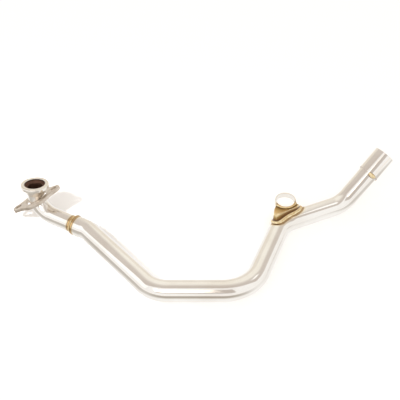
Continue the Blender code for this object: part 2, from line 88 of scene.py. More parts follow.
def addNode(tree, kind, inputs=None, **settings):
    node = tree.nodes.new(kind)
    for key, value in settings.items():
        setattr(node, key, value)
    feed(tree, node, inputs or {})
    return node


def linearColour(hexCode, alpha=1.0):
    channels = [int(hexCode[i:i + 2], 16) / 255 for i in (0, 2, 4)]
    linear = [c / 12.92 if c <= 0.04045 else ((c + 0.055) / 1.055) ** 2.4 for c in channels]
    return (*linear, alpha)


def headingVector(planAngle, climb=0.0):
    plan, rise = radians(planAngle), radians(climb)
    return Vector((cos(rise) * cos(plan), cos(rise) * sin(plan), sin(rise)))


def buildRoute():
    ahead = headingVector(route["legs"][0][0])
    left = upAxis.cross(ahead)
    back = sin(radians(route["mouthLeanBack"]))
    side = sin(radians(route["mouthLeanSide"]))
    mouthAxis = left * side - ahead * back + upAxis * sqrt(1 - back ** 2 - side ** 2)
    corners = [Vector(route["mouth"])]
    corners.append(corners[0] - mouthAxis * route["mouthHeight"])
    for plan, climb, length in route["legs"]:
        corners.append(corners[-1] + headingVector(plan, climb) * length)
    runs = []
    start = corners[0]
    for before, corner, after, radius in zip(corners, corners[1:], corners[2:], route["bendRadii"]):
        inward = (corner - before).normalized()
        outward = (after - corner).normalized()
        turn = inward.angle(outward)
        cut = radius * tan(turn / 2)
        entry = corner - inward * cut
        side = (outward - inward * outward.dot(inward)).normalized()
        runs.append({"start": start, "along": inward, "length": (entry - start).length, "radius": 0.0})
        runs.append({"start": entry, "along": inward, "length": radius * turn, "radius": radius,
                     "side": side})
        start = corner + outward * cut
    runs.append({"start": start, "along": outward, "length": (corners[-1] - start).length, "radius": 0.0})
    return corners, mouthAxis, runs


def placeOn(distance):
    for run in runs:
        if distance <= run["length"] + 1e-9 or run is runs[-1]:
            break
        distance -= run["length"]
    if run["radius"] == 0.0:
        return run["start"] + run["along"] * distance, run["along"].copy()
    turn = distance / run["radius"]
    reach = run["along"] * sin(turn) + run["side"] * (1 - cos(turn))
    return run["start"] + reach * run["radius"], run["along"] * cos(turn) + run["side"] * sin(turn)


corners, mouthAxis, runs = buildRoute()
routeLength = sum(run["length"] for run in runs)
headerCut = route["bendRadii"][0] * tan((-mouthAxis).angle(headingVector(route["legs"][0][0])) / 2)
stepStation = runs[0]["length"] + runs[1]["length"] + route["headerRun"] - headerCut
sleeveStation = routeLength - tubes["sleeveLength"]
# the middle of the rear bend, the fifth, where the gusset sits
rearBendStation = sum(run["length"] for run in runs[:9]) + runs[9]["length"] / 2
print("route", round(routeLength, 4), "step at", round(stepStation, 4))


def newPiece(name, mesh, material=None):
    piece = bpy.data.objects.new(name, mesh)
    bpy.context.scene.collection.objects.link(piece)
    if material and not mesh.materials:
        mesh.materials.append(material)
    return piece


def bakedMesh(piece):
    depsgraph = bpy.context.evaluated_depsgraph_get()
    mesh = bpy.data.meshes.new_from_object(piece.evaluated_get(depsgraph), preserve_all_data_layers=True,
                                           depsgraph=depsgraph)
    mesh.name = piece.name
    return mesh


def replaceWithBaked(piece):
    mesh = bakedMesh(piece)
    piece.modifiers.clear()
    piece.data = mesh
    return piece


def smoothShade(piece, angle=35.0):
    piece.data.shade_smooth()
    piece.data.set_sharp_from_angle(angle=radians(angle))


def skinRings(name, rings, closed=True, capped=False):
    mesh = bpy.data.meshes.new(name)
    count = len(rings[0])
    verts = [point for ring in rings for point in ring]
    faces = []
    last = len(rings) if closed else len(rings) - 1
    for i in range(last):
        nextRow = (i + 1) % len(rings)
        for j in range(count):
            k = (j + 1) % count
            faces.append((i * count + j, i * count + k, nextRow * count + k, nextRow * count + j))
    if capped:
        faces.append(tuple(range(count)))
        faces.append(tuple((len(rings) - 1) * count + j for j in range(count)))
    mesh.from_pydata([tuple(v) for v in verts], [], faces)
    return mesh


def outwardFaces(mesh, merge=0.0):
    worker = bmesh.new()
    worker.from_mesh(mesh)
    if merge:
        bmesh.ops.remove_doubles(worker, verts=worker.verts, dist=merge)
    bmesh.ops.recalc_face_normals(worker, faces=worker.faces)
    worker.to_mesh(mesh)
    worker.free()


def storeFloats(mesh, name, values):
    layer = mesh.attributes.get(name) or mesh.attributes.new(name, "FLOAT", "POINT")
    layer.data.foreach_set("value", values)


def storeVectors(mesh, name, vectors):
    layer = mesh.attributes.new(name, "FLOAT_VECTOR", "POINT")
    layer.data.foreach_set("vector", [c for v in vectors for c in v])


def circleRing(centre, across, aside, radius, count):
    turns = [2 * pi * i / count for i in range(count)]
    return [centre + radius * (across * cos(t) + aside * sin(t)) for t in turns]


def startTree(name, sizes):
    # a Geometry Nodes tree with its shape, its named sizes and its steel as inputs
    tree = bpy.data.node_groups.new(name, "GeometryNodeTree")
    tree.interface.new_socket("Shape", in_out="INPUT", socket_type="NodeSocketGeometry")
    sockets = {}
    for label, kind in {**sizes, "Steel": "Material"}.items():
        socket = tree.interface.new_socket(label, in_out="INPUT", socket_type="NodeSocket" + kind)
        sockets[label] = socket.identifier
    tree.interface.new_socket("Shape", in_out="OUTPUT", socket_type="NodeSocketGeometry")
    return tree, addNode(tree, "NodeGroupInput").outputs, sockets


def endTree(tree, given, shape):
    real = addNode(tree, "GeometryNodeRealizeInstances", {"Geometry": shape})
    dressed = addNode(tree, "GeometryNodeSetMaterial", {"Geometry": real, "Material": given["Steel"]})
    addNode(tree, "NodeGroupOutput", {"Shape": dressed})


def runTree(piece, nodes, values):
    # the sockets go by identifier; the result is baked and the modifier goes
    tree, sockets = nodes
    modifier = piece.modifiers.new(tree.name, "NODES")
    modifier.node_group = tree
    for key, value in values.items():
        modifier[sockets[key]] = value
    replaceWithBaked(piece)


def tubeTree():
    # a round tube's skin along a line of points; "skin" is the place across and along it
    tree, given, sockets = startTree("sweptTube", {"Radius": "Float", "Sides": "Int"})
    line = addNode(tree, "GeometryNodeMeshToCurve", {"Mesh": given["Shape"]})
    where = addNode(tree, "GeometryNodeSplineParameter")
    along = addNode(tree, "GeometryNodeStoreNamedAttribute",
                    {"Geometry": line, "Name": "along", "Value": where.outputs["Length"]}, data_type="FLOAT")
    ring = addNode(tree, "GeometryNodeCurvePrimitiveCircle",
                   {"Resolution": given["Sides"], "Radius": given["Radius"]})
    spot = addNode(tree, "GeometryNodeInputPosition")
    turned = addNode(tree, "GeometryNodeStoreNamedAttribute",
                     {"Geometry": ring, "Name": "round", "Value": spot}, data_type="FLOAT_VECTOR")
    swept = addNode(tree, "GeometryNodeCurveToMesh", {"Curve": along, "Profile Curve": turned})
    alongHere = addNode(tree, "GeometryNodeInputNamedAttribute", {"Name": "along"}, data_type="FLOAT")
    roundHere = addNode(tree, "GeometryNodeInputNamedAttribute", {"Name": "round"}, data_type="FLOAT_VECTOR")
    parts = addNode(tree, "ShaderNodeSeparateXYZ", {"Vector": roundHere}).outputs
    skin = addNode(tree, "ShaderNodeCombineXYZ", {"X": parts["X"], "Y": parts["Y"], "Z": alongHere})
    kept = addNode(tree, "GeometryNodeStoreNamedAttribute",
                   {"Geometry": swept, "Name": "skin", "Value": skin}, data_type="FLOAT_VECTOR")
    endTree(tree, given, kept)
    return tree, sockets


def rippleTree():
    # ripples that run along a weld bead, bowed across it and faded to its toes
    tree, given, sockets = startTree("weldRipples", {"Pitch": "Float", "Depth": "Float", "Bow": "Float",
                                                     "Level": "Float"})
    along, lift, across = (addNode(tree, "GeometryNodeInputNamedAttribute", {"Name": name}, data_type="FLOAT")
                           for name in ("along", "lift", "across"))
    turns = addNode(tree, "ShaderNodeMath", {0: along, 1: given["Pitch"]}, operation="DIVIDE")
    square = addNode(tree, "ShaderNodeMath", {0: across, 1: across}, operation="MULTIPLY")
    phase = addNode(tree, "ShaderNodeMath", {0: square, 1: given["Bow"], 2: turns}, operation="MULTIPLY_ADD")
    angle = addNode(tree, "ShaderNodeMath", {0: phase, 1: pi}, operation="MULTIPLY")
    wave = addNode(tree, "ShaderNodeMath", {0: angle}, operation="SINE")
    scallop = addNode(tree, "ShaderNodeMath", {0: wave}, operation="ABSOLUTE")
    centred = addNode(tree, "ShaderNodeMath", {0: scallop, 1: given["Level"]}, operation="SUBTRACT")
    sized = addNode(tree, "ShaderNodeMath", {0: centred, 1: given["Depth"]}, operation="MULTIPLY")
    faded = addNode(tree, "ShaderNodeMath", {0: sized, 1: lift}, operation="MULTIPLY")
    normal = addNode(tree, "GeometryNodeInputNormal")
    push = addNode(tree, "ShaderNodeVectorMath", {0: normal, "Scale": faded}, operation="SCALE")
    moved = addNode(tree, "GeometryNodeSetPosition", {"Geometry": given["Shape"], "Offset": push})
    crest = addNode(tree, "GeometryNodeStoreNamedAttribute",
                    {"Geometry": moved, "Name": "crest", "Value": scallop}, data_type="FLOAT")
    endTree(tree, given, crest)
    return tree, sockets


finishes = {
    "tubeSteel": "f8f4ee",
    "tubeShade": "f0eae2",
    "turnedSteel": "f3ede4",
    "plateSteel": "e6dcd0",
    "plateShade": "c2b4a4",
    "straw": "fae7ba",
    "beadStraw": "fdecc4",
    "gold": "dab577",
    "olive": "a98a4a",
    "brown": "7d5426",
    "deepBrown": "45301c",
    "bore": "775b4e",
    "boreShade": "54392e",
    # the tubes' inside is a paler soot than the bore: painted light in the deep of the mouth, where little
    # light reaches
    "inside": "bd9c8a",
    "insideShade": "93705e",
    "polishStretch": (1.0, 1.0, 0.02),  # the lines run 50 times as far as they are wide
    "grainStretch": (0.05625, 1.0, 1.0),  # the grain runs 18 times as far as it is wide
    "grainTurn": (0.0, 0.35, 0.28),
    "grainShare": 0.4,
    "tubeRough": (0.07, 0.14),
    "collarRough": (0.09, 0.20),
    "bushRough": (0.18, 0.34),
    "plateRough": (0.28, 0.46),
    "tubeRelief": (0.25, 0.00003),  # strength, depth in metres
    "turnedRelief": (0.3, 0.00003),
    "plateRelief": (0.35, 0.00005),
    "heatRough": 0.26,
    "sootRough": 0.45,
    # heat colours beside a weld: share of the reach, colour, strength
    "heatReach": 0.010,
    "heatWander": 0.0012,
    "heatStops": [(0.0, "gold", 0.95), (0.17, "gold", 0.90), (0.28, "brown", 0.85), (0.42, "straw", 0.50),
                  (0.75, "tubeSteel", 0.0)],
    # heat colours up the gusset, browner by the foot's bead and under the neck as painted shade and with a
    # straw band as a painted highlight: share of the way from foot to neck, colour, strength
    "climbWander": 0.16,
    "climbHeatAndPaintedLightStops": [(0.0, "deepBrown", 1.0), (0.16, "brown", 1.0), (0.27, "olive", 1.0), (0.42, "straw", 1.0),
                   (0.60, "gold", 1.0), (0.78, "olive", 1.0), (0.92, "brown", 1.0), (1.0, "deepBrown", 1.0)],
}
# patterns: width in millimetres, and how fine its noise goes
patterns = {
    "polishLine": (1.2, 4.0),  # real polishing lines are finer; drawn this wide so that they show
    "polishCloud": (41.7, 3.0),
    "latheRing": (0.4545, 4.0),  # a finishing cut leaves finer ones; drawn this wide so that they show
    "grainLine": (0.625, 4.0),  # a belt's lines are finer; drawn this wide so that they show
    "plateCloud": (14.3, 4.0),
    "heatPatch": (6.25, 3.0),
    "beadPatch": (4.545, 3.0),
    "sheetPatch": (11.1, 4.0),
    "sootPatch": (8.33, 4.0),
}


def spread(place, pattern):
    # what a noise node takes for one of the patterns
    width, detail = patterns[pattern]
    return {"Vector": place, "Scale": 1000 / width, "Detail": detail}


def tone(colour, strength=1.0):
    return linearColour(finishes[colour], strength)


def newMaterial(name):
    material = bpy.data.materials.new(name)
    material.use_nodes = True
    tree = material.node_tree
    shader = tree.nodes["Principled BSDF"]
    shader.inputs["Metallic"].default_value = 1.0
    return material, tree, shader, addNode(tree, "ShaderNodeTexCoord").outputs["Object"]


def setStops(ramp, stops):
    points = ramp.color_ramp.elements
    while len(points) < len(stops):
        points.new(0.5)
    for point, (spot, colour, strength) in zip(points, stops):
        point.position = spot
        point.color = tone(colour, strength)


def lineFinish(tree, shader, base, lines, rough, relief):
    # fine lines vary the roughness and the height
    sheen = addNode(tree, "ShaderNodeMapRange", {"Value": lines, "From Min": 0.3, "From Max": 0.7,
                                                 "To Min": rough[0], "To Max": rough[1]})
    strength, depth = relief
    bump = addNode(tree, "ShaderNodeBump", {"Height": lines, "Strength": strength, "Distance": depth})
    feed(tree, shader, {"Base Color": base, "Roughness": sheen, "Normal": bump})


def heatTint(tree, place, base):
    # heat colours by the distance from a weld's bead: gold, brown, straw, then bare steel
    heat = addNode(tree, "ShaderNodeAttribute", attribute_name="fromWeld").outputs["Fac"]
    patch = addNode(tree, "ShaderNodeTexNoise", spread(place, "heatPatch"))
    shift = addNode(tree, "ShaderNodeMath", {0: patch, 1: 0.5}, operation="SUBTRACT")
    wander = finishes["heatWander"]
    uneven = addNode(tree, "ShaderNodeMath", {0: shift, 1: wander, 2: heat}, operation="MULTIPLY_ADD")
    share = addNode(tree, "ShaderNodeMath", {0: uneven, 1: finishes["heatReach"]}, operation="DIVIDE")
    ramp = addNode(tree, "ShaderNodeValToRGB", {"Fac": share})
    setStops(ramp, finishes["heatStops"])
    strength = ramp.outputs["Alpha"]
    return addNode(tree, "ShaderNodeMix", {0: strength, 6: base, 7: ramp}, data_type="RGBA").outputs[2]


def polishedTube(name):
    # polished stainless tube: mirror-like, with fine lengthwise lines and a warm cast
    material, tree, shader, place = newMaterial(name)
    skin = addNode(tree, "ShaderNodeAttribute", attribute_name="skin").outputs["Vector"]
    stretched = addNode(tree, "ShaderNodeMapping", {"Vector": skin, "Scale": finishes["polishStretch"]})
    lines = addNode(tree, "ShaderNodeTexNoise", spread(stretched, "polishLine"))
    cloud = addNode(tree, "ShaderNodeTexNoise", spread(place, "polishCloud"))
    share = addNode(tree, "ShaderNodeMapRange", {"Value": cloud, "From Min": 0.35, "From Max": 0.75})
    colours = {0: share, 6: tone("tubeSteel"), 7: tone("tubeShade")}
    base = addNode(tree, "ShaderNodeMix", colours, data_type="RGBA").outputs[2]
    tinted = heatTint(tree, place, base)
    lineFinish(tree, shader, tinted, lines, finishes["tubeRough"], finishes["tubeRelief"])
    return material


def turnedSteel(name, rough, tinted=False):
    # turned stainless: fine rings from the lathe, a little duller than the tube
    material, tree, shader, place = newMaterial(name)
    lathe = addNode(tree, "ShaderNodeAttribute", attribute_name="lathe").outputs["Vector"]
    lines = addNode(tree, "ShaderNodeTexNoise", spread(lathe, "latheRing"))
    colours = {0: lines, 6: tone("turnedSteel"), 7: tone("tubeShade")}
    base = addNode(tree, "ShaderNodeMix", colours, data_type="RGBA").outputs[2]
    if tinted:
        base = heatTint(tree, place, base)
    lineFinish(tree, shader, base, lines, rough, finishes["turnedRelief"])
    return material


def brushedPlate(name):
    # brushed stainless plate: dull and grainy, darker than the tube
    material, tree, shader, place = newMaterial(name)
    turned = addNode(tree, "ShaderNodeMapping", {"Vector": place, "Rotation": finishes["grainTurn"],
                                                 "Scale": finishes["grainStretch"]})
    grain = addNode(tree, "ShaderNodeTexNoise", spread(turned, "grainLine"))
    cloud = addNode(tree, "ShaderNodeTexNoise", spread(place, "plateCloud"))
    grainShare = finishes["grainShare"]
    mixed = addNode(tree, "ShaderNodeMath", {0: grain, 1: grainShare, 2: cloud}, operation="MULTIPLY_ADD")
    share = addNode(tree, "ShaderNodeMapRange", {"Value": mixed, "From Min": 0.5, "From Max": 0.95})
    colours = {0: share, 6: tone("plateSteel"), 7: tone("plateShade")}
    base = addNode(tree, "ShaderNodeMix", colours, data_type="RGBA").outputs[2]
    lineFinish(tree, shader, base, grain, finishes["plateRough"], finishes["plateRelief"])
    return material


def weldMetal(name):
    # weld metal: straw to gold, browner in the ripples' valleys and towards the toes as painted shade of the
    # ripples and of the bead's rounded flanks
    material, tree, shader, place = newMaterial(name)
    crest = addNode(tree, "ShaderNodeAttribute", attribute_name="crest").outputs["Fac"]
    lift = addNode(tree, "ShaderNodeAttribute", attribute_name="lift").outputs["Fac"]
    patch = addNode(tree, "ShaderNodeTexNoise", spread(place, "beadPatch"))
    share = addNode(tree, "ShaderNodeMapRange", {"Value": patch, "From Min": 0.40, "From Max": 0.75})
    colours = {0: share, 6: tone("beadStraw"), 7: tone("gold")}
    base = addNode(tree, "ShaderNodeMix", colours, data_type="RGBA").outputs[2]
    valleyShade = addNode(tree, "ShaderNodeMapRange",
                     {"Value": crest, "From Min": 0.55, "From Max": 0.0, "To Max": 0.5})
    toe = addNode(tree, "ShaderNodeMapRange", {"Value": lift, "From Min": 0.45, "From Max": 0.10})
    # the browns in the valleys and at the toes are painted shade
    for darker in (valleyShade, toe):
        colours = {0: darker, 6: base, 7: tone("brown")}
        base = addNode(tree, "ShaderNodeMix", colours, data_type="RGBA").outputs[2]
    feed(tree, shader, {"Base Color": base, "Roughness": finishes["heatRough"]})
    return material


def tintedShadedSheet(name):
    # stainless sheet coloured by the heat of both its welds, with painted shade in the browns at the foot and
    # the neck and a painted highlight in the straw band between
    material, tree, shader, place = newMaterial(name)
    climb = addNode(tree, "ShaderNodeAttribute", attribute_name="climb").outputs["Fac"]
    cloud = addNode(tree, "ShaderNodeTexNoise", spread(place, "sheetPatch"))
    wander = finishes["climbWander"]
    shift = addNode(tree, "ShaderNodeMath", {0: cloud, 1: wander, 2: climb}, operation="MULTIPLY_ADD")
    share = addNode(tree, "ShaderNodeMath", {0: shift, 1: wander / 2}, operation="SUBTRACT")
    ramp = addNode(tree, "ShaderNodeValToRGB", {"Fac": share})
    setStops(ramp, finishes["climbHeatAndPaintedLightStops"])
    feed(tree, shader, {"Base Color": ramp, "Roughness": finishes["heatRough"]})
    return material


def sootedSteel(name, pale, dark):
    # stainless under a film of soot: dull brown
    material, tree, shader, place = newMaterial(name)
    cloud = addNode(tree, "ShaderNodeTexNoise", spread(place, "sootPatch"))
    base = addNode(tree, "ShaderNodeMix", {0: cloud, 6: tone(pale), 7: tone(dark)}, data_type="RGBA")
    feed(tree, shader, {"Base Color": base.outputs[2], "Roughness": finishes["sootRough"]})
    return material


tubeMaterial = polishedTube("polishedStainlessTube")
collarMaterial = turnedSteel("turnedStainlessCollar", finishes["collarRough"])
bushMaterial = turnedSteel("turnedStainlessBush", finishes["bushRough"], tinted=True)
plateMaterial = brushedPlate("brushedStainlessPlate")
beadMaterial = weldMetal("stainlessWeldBead")
sheetMaterial = tintedShadedSheet("heatTintedSheetWithPaintedLight")
boreMaterial = sootedSteel("sootedStainlessBore", "bore", "boreShade")
# paler soot down the tubes as painted light in the deep of the mouth; on the sleeve's end face it is painted
# shade
insideMaterial = sootedSteel("sootedTubePaintedLightAndShade", "inside", "insideShade")
print("materials", len(bpy.data.materials))

tubeNodes = tubeTree()
rippleNodes = rippleTree()


def tubeStops(first, last, fineZones):
    stops, here = [first], first
    while here < last - 1e-6:
        fine = any(low - 1e-6 <= here < high for low, high in fineZones)
        here = min(last, here + (tubes["fineSpacing"] if fine else tubes["stopSpacing"]))
        if last - here < 1e-4:
            here = last
        stops.append(here)
    return stops


def sweepTube(name, first, last, outer, wall, fineZones=(), sootAndShadeEnd=False):
    points = [placeOn(stop)[0] for stop in tubeStops(first, last, fineZones)]
    line = bpy.data.meshes.new(name)
    line.from_pydata([tuple(p) for p in points], [(i, i + 1) for i in range(len(points) - 1)], [])
    piece = newPiece(name, line)
    runTree(piece, tubeNodes, {"Radius": outer, "Sides": tubes["sides"], "Steel": tubeMaterial})
    outerFaces = len(piece.data.polygons)
    face = piece.data.polygons[0]
    if face.normal.dot(face.center - points[0]) < 0:
        piece.data.flip_normals()
    thick = piece.modifiers.new("wall", "SOLIDIFY")
    thick.thickness, thick.offset, thick.use_even_offset = wall, -1.0, True
    replaceWithBaked(piece)
    piece.data.materials.append(insideMaterial)
    firstReach = (piece.data.polygons[0].center - points[0]).length
    innerStart = 0 if firstReach < outer - wall / 2 else outerFaces
    for index in range(innerStart, innerStart + outerFaces):
        piece.data.polygons[index].material_index = 1
    # an end's face darkened: soot in the mouth, painted shade of the gap at the sleeve's step
    for face in piece.data.polygons:
        near = (face.center - points[0]).length < outer * tubes["sootAndShadeReach"]
        if sootAndShadeEnd and face.index >= 2 * outerFaces and near:
            face.material_index = 1
    rim = piece.modifiers.new("rim", "BEVEL")
    rim.width, rim.segments, rim.limit_method = tubes["rimRound"], 2, "ANGLE"
    replaceWithBaked(piece)
    smoothShade(piece)
    return piece


headerInner = tubes["headerRadius"] - tubes["headerWall"]
pipeEnd = sleeveStation + tubes["sleeveOverlap"]
sleeveInner = tubes["pipeRadius"] + tubes["seamGap"]
sleeveOuter = sleeveInner + tubes["sleeveWall"]
beforeStep, afterStep = tubes["fineStep"]
beforeRear, afterRear = tubes["fineRear"]
beforeSleeve, afterSleeve = tubes["fineSleeve"]
headerTube = sweepTube("headerTube", tubes["collarSeat"], stepStation + tubes["headerInsert"],
                       tubes["headerRadius"], tubes["headerWall"], [(stepStation - beforeStep, stepStation)],
                       sootAndShadeEnd=True)
mainPipe = sweepTube("mainPipe", stepStation, pipeEnd, tubes["pipeRadius"], tubes["pipeWall"],
                     [(stepStation, stepStation + afterStep),
                      (rearBendStation - beforeRear, rearBendStation + afterRear),
                      (sleeveStation - beforeSleeve, sleeveStation)])
# its first end face is darkened as painted shade of the gap where it steps over the pipe
tailSleeve = sweepTube("tailSleeve", sleeveStation, routeLength, sleeveOuter, tubes["sleeveWall"],
                       [(sleeveStation, sleeveStation + afterSleeve)], sootAndShadeEnd=True)
print("tubes", [len(p.data.polygons) for p in (headerTube, mainPipe, tailSleeve)])


def bentLine(start, control, finish, shares):
    return [start * (1 - s) ** 2 + control * (2 * s * (1 - s)) + finish * s ** 2 for s in shares]


def roundedProfile(outline, radii, steps=5):
    # outline corners (radius, height); each corner rounded by its own radius
    points = []
    count = len(outline)
    for i, (corner, size) in enumerate(zip(outline, radii)):
        here = Vector(corner)
        before, after = Vector(outline[i - 1]), Vector(outline[(i + 1) % count])
        if size <= 0:
            points.append(here)
            continue
        inward, outward = (here - before).normalized(), (after - here).normalized()
        turn = inward.angle(outward)
        cut = min(size * tan(turn / 2), (here - before).length * 0.45, (after - here).length * 0.45)
        start, finish = here - inward * cut, here + outward * cut
        points += bentLine(start, here, finish, [step / steps for step in range(steps + 1)])
    return points


def latheFrame(axis):
    axis = axis.normalized()
    across = axis.orthogonal().normalized()
    return axis, across, axis.cross(across)


def turnedPiece(name, centre, axis, profile, material, segments=144):
    axis, across, aside = latheFrame(axis)
    rings = [circleRing(centre + axis * rise, across, aside, radius, segments) for radius, rise in profile]
    mesh = skinRings(name, rings)
    storeVectors(mesh, "lathe", [(radius, rise, 0.0) for radius, rise in profile for _ in range(segments)])
    outwardFaces(mesh)
    piece = newPiece(name, mesh, material)
    smoothShade(piece, angle=28.0)
    return piece


# turned collar that the exhaust port presses on
collar = {
    "lipRadius": 0.0220,
    "lipThickness": 0.0062,
    "lipRound": 0.0016,
    "mouthRound": 0.0007,
    "lipUnderRound": 0.0010,
    "spigotTopRound": 0.0011,
    "taperRound": 0.0030,
    "footRound": 0.0002,
    "socketRound": 0.0001,
    "boreRadius": 0.01625,
    "length": 0.0165,
    "wall": 0.0030,
    "taper": 0.0110,
    "edge": 0.0008,
}


def makeCollar():
    seat, gap = tubes["collarSeat"], tubes["seamGap"]
    socket = tubes["headerRadius"] + gap
    spigot = socket + collar["wall"]
    outline = [(collar["boreRadius"], -seat), (collar["boreRadius"], 0.0), (collar["lipRadius"], 0.0),
               (collar["lipRadius"], -collar["lipThickness"]), (spigot, -collar["lipThickness"]),
               (spigot, collar["taper"] - collar["length"]), (socket + collar["edge"], -collar["length"]),
               (socket, -collar["length"]), (socket, -seat)]
    rounds = ("mouthRound", "lipRound", "lipUnderRound", "spigotTopRound", "taperRound", "footRound",
              "socketRound")
    radii = [0.0, *(collar[key] for key in rounds), 0.0]
    piece = turnedPiece("mouthCollar", corners[0], mouthAxis, roundedProfile(outline, radii), collarMaterial)
    piece.data.materials.append(boreMaterial)
    axis, nearly = mouthAxis.normalized(), 0.0003
    for face in piece.data.polygons:
        offset = face.center - corners[0]
        height = offset.dot(axis)
        radial = offset - axis * height
        wall = face.normal.dot(radial) < 0 and height < -collar["mouthRound"] - nearly
        ledge = abs(height + seat) < nearly
        if radial.length < collar["boreRadius"] + nearly and (wall or ledge):
            face.material_index = 1
    return piece


mouthCollar = makeCollar()

# mounting bush beside the rear bend
bush = {
    "radius": 0.0172,
    "wall": 0.0021,
    "length": 0.0100,
    "reach": 0.0515,
    "bearing": 77.3,
    "rise": 0.0050,
    "tilt": 7.5,
    "edge": 0.0005,
}


def bushFrame():
    bearing = headingVector(bush["bearing"])
    centre = corners[5] + bearing * bush["reach"] + upAxis * bush["rise"]
    tilt = radians(bush["tilt"])
    axis = upAxis * cos(tilt) - bearing * sin(tilt)
    facing = -(bearing * cos(tilt) + upAxis * sin(tilt))
    return centre, axis, facing


bushCentre, bushAxis, bushFacing = bushFrame()


def makeBush():
    half, inner = bush["length"] / 2, bush["radius"] - bush["wall"]
    outline = [(inner, -half), (bush["radius"], -half), (bush["radius"], half), (inner, half)]
    profile = roundedProfile(outline, [bush["edge"]] * 4)
    return turnedPiece("bushRing", bushCentre, bushAxis, profile, bushMaterial)


bushRing = makeBush()

# loose two-bolt flange that hangs round the header's bend
plate = {
    "boltSpacing": 0.0640,
    "thickness": 0.0055,
    "bore": 0.0376,
    "rim": 0.0095,
    "earRadius": 0.0101,
    "waistRadius": 0.030,
    "boltHole": 0.0100,
    "edge": 0.0007,
    "bendAngle": 19.8,  # how far round the bend it hangs
    "nod": 5.3,  # its leans, and the turn of its ears
    "roll": 11.2,
    "spin": 39.3,
    "sideSlip": 0.0017,
    "earSteps": 24,
    "waistSteps": 14,
    "middleSteps": 16,
    "boreSteps": 96,
    "holeSteps": 48,
}


def arcPoints(centre, radius, start, finish, steps):
    turns = [start + (finish - start) * i / steps for i in range(steps + 1)]
    return [(centre[0] + radius * cos(t), centre[1] + radius * sin(t)) for t in turns]


def plateOutline():
    half, ear, waist = plate["boltSpacing"] / 2, plate["earRadius"], plate["waistRadius"]
    middle = plate["bore"] / 2 + plate["rim"]
    far = (half ** 2 + (middle + waist) ** 2 - (ear + waist) ** 2) / (2 * half)
    high = sqrt((middle + waist) ** 2 - far ** 2)
    lean, earLean = atan2(high, far), atan2(high, far - half)
    line = arcPoints((half, 0.0), ear, 0.0, earLean, plate["earSteps"])
    line += arcPoints((far, high), waist, earLean + pi, lean + pi, plate["waistSteps"])[1:-1]
    line += arcPoints((0.0, 0.0), middle, lean, pi / 2, plate["middleSteps"])
    upper = line + [(-x, y) for x, y in reversed(line[:-1])]
    return upper + [(x, -y) for x, y in reversed(upper[1:-1])]


def plateFrame():
    turn = radians(plate["bendAngle"])
    bend = runs[1]
    point, travel = placeOn(runs[0]["length"] + turn * bend["radius"])
    outward = -travel
    towards = bend["side"] * cos(turn) - bend["along"] * sin(turn)
    across = outward.cross(towards)
    face = outward - towards * tan(radians(plate["nod"])) - across * tan(radians(plate["roll"]))
    face.normalize()
    tilt = face.angle(outward)
    reach = plate["bore"] / 2 * cos(tilt) - plate["thickness"] / 2 * sin(tilt)
    hang = sqrt((reach - tubes["headerRadius"] - 2 * tubes["seamGap"]) ** 2 - plate["sideSlip"] ** 2)
    centre = point - towards * hang + across * plate["sideSlip"]
    spin = radians(plate["spin"])
    ears = towards * cos(spin) + across * sin(spin)
    ears = (ears - face * ears.dot(face)).normalized()
    return centre, face, ears


def makePlate():
    centre, face, ears = plateFrame()
    half, edge = plate["boltSpacing"] / 2, plate["edge"]
    loops = [plateOutline(), arcPoints((0, 0), plate["bore"] / 2, 0.0, 2 * pi, plate["boreSteps"])[:-1]]
    for side in (half, -half):
        loops.append(arcPoints((side, 0), plate["boltHole"] / 2, 0.0, 2 * pi, plate["holeSteps"])[:-1])
    flat = bpy.data.curves.new("flangePlate", "CURVE")
    flat.dimensions, flat.fill_mode = "2D", "BOTH"
    for loop in loops:
        spline = flat.splines.new("POLY")
        spline.points.add(len(loop) - 1)
        for point, (x, y) in zip(spline.points, loop):
            point.co = (x, y, 0.0, 1.0)
        spline.use_cyclic_u = True
    flat.extrude = plate["thickness"] / 2 - edge
    flat.bevel_depth, flat.bevel_resolution, flat.offset = edge, 2, -edge
    shape = newPiece("flangePlateCurve", flat)
    mesh = bakedMesh(shape)
    bpy.data.objects.remove(shape, do_unlink=True)
    outwardFaces(mesh, merge=1e-6)
    place = Matrix((ears, face.cross(ears), face)).transposed().to_4x4()
    mesh.transform(Matrix.Translation(centre) @ place)
    mesh.materials.clear()
    piece = newPiece("flangePlate", mesh, plateMaterial)
    smoothShade(piece, angle=50.0)
    return piece


flangePlate = makePlate()
print("collar, bush and plate", len(flangePlate.data.polygons))

# formed sheet: a saddle on the pipe, drawn in to a neck on the bush
gusset = {
    "sheet": 0.0015,
    "footLength": 0.0668,
    "footShift": 0.0049,
    "footTop": -9.0,  # degrees round the pipe from its top
    "footLow": 138.0,
    "fit": 0.0007,  # gap between the foot and the pipe
    "rearSlant": 0.041,  # how far an end moves on from its top to its bottom
    "foreSlant": 0.006,
    "footFlare": 0.0130,
    "endFlare": 0.0040,
    "neckWrap": 62.0,  # half its reach round the bush
    "neckTurn": 20.0,  # its middle, from the side that faces the pipe
    "neckHeight": 0.0046,
    "neckRun": 0.0080,
    "squareness": 2.8,  # 2 gives an ellipse, more a squarer outline
    "turns": 420,
    "rows": 26,
    "turnStep": 0.01,  # how far apart a slope's two points are, in radians
    "sheetStep": 0.02,
}
footMiddle = rearBendStation + gusset["footShift"]


def squared(value):
    return copysign(abs(value) ** (2 / gusset["squareness"]), value)


def footPlace(turn):
    drop = (1 - squared(sin(turn))) / 2
    angle = gusset["footTop"] + (gusset["footLow"] - gusset["footTop"]) * drop
    rear = footMiddle - gusset["footLength"] / 2 + gusset["rearSlant"] * drop
    fore = footMiddle + gusset["footLength"] / 2 + gusset["foreSlant"] * drop
    ahead = (1 + squared(cos(turn))) / 2
    return rear + (fore - rear) * ahead, radians(angle)


